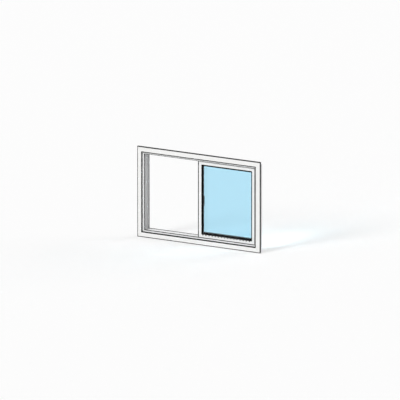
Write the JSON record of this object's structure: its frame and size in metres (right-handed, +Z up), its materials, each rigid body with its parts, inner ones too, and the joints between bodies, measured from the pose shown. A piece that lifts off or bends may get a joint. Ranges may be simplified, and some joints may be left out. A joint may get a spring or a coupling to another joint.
{
  "type": "sliding window",
  "caption": "White sliding window with a flat outside casing, a fixed glazed sash in the front track and a sliding sash parked open behind it.",
  "frame": {"origin": "middle of the casing's bottom edge, on the casing's flat back face, which lies against the outside of a wall", "axes": "+X to the right as seen from outside, +Y from outside to inside, +Z up"},
  "size_m": [2.1, 0.199, 1.35],
  "materials": {
    "casing_paint": "smooth white satin paint on softwood boards",
    "frame_coat": "white satin powder coat on extruded aluminium",
    "clear_glass": "pale blue tinted clear float glass",
    "black_rubber": "matt black glazing rubber and edge sealant",
    "black_plastic": "black moulded nylon",
    "spacer_metal": "dark anodised perforated spacer bar",
    "bare_aluminium": "mill finish aluminium",
    "zinc_steel": "zinc plated steel",
    "grey_pile": "dense grey woven pile",
    "handle_black": "black powder coat on a zinc casting"
  },
  "bodies": {
    "root": {"anti_lift_blocks": "black_plastic", "casing_head": "casing_paint", "casing_left": "casing_paint", "casing_right": "casing_paint", "casing_sill": "casing_paint", "fixed_sash_bottom_rail": "frame_coat", "fixed_sash_edge_sealant": "black_rubber", "fixed_sash_head_blocks": "black_plastic", "fixed_sash_inner_beads": "black_rubber", "fixed_sash_inner_pane": "clear_glass", "fixed_sash_interlock": "frame_coat", "fixed_sash_jamb_stile": "frame_coat", "fixed_sash_meeting_stile": "frame_coat", "fixed_sash_outer_beads": "black_rubber", "fixed_sash_outer_pane": "clear_glass", "fixed_sash_packers": "black_plastic", "fixed_sash_pile_seals": "grey_pile", "fixed_sash_setting_blocks": "black_plastic", "fixed_sash_spacer": "spacer_metal", "fixed_sash_top_rail": "frame_coat", "frame_head": "frame_coat", "frame_left_jamb": "frame_coat", "frame_right_jamb": "frame_coat", "frame_sill": "frame_coat", "pull_handle": "handle_black", "roller_axles": "zinc_steel", "roller_housings": "zinc_steel", "roller_wheels": "black_plastic", "sliding_sash_bottom_rail": "frame_coat", "sliding_sash_closing_stile": "frame_coat", "sliding_sash_edge_sealant": "black_rubber", "sliding_sash_inner_beads": "black_rubber", "sliding_sash_inner_pane": "clear_glass", "sliding_sash_interlock": "frame_coat", "sliding_sash_meeting_stile": "frame_coat", "sliding_sash_outer_beads": "black_rubber", "sliding_sash_outer_pane": "clear_glass", "sliding_sash_pile_seals": "grey_pile", "sliding_sash_setting_blocks": "black_plastic", "sliding_sash_spacer": "spacer_metal", "sliding_sash_top_rail": "frame_coat", "track_rail": "bare_aluminium", "travel_stop": "black_plastic"}
  },
  "joints": []
}
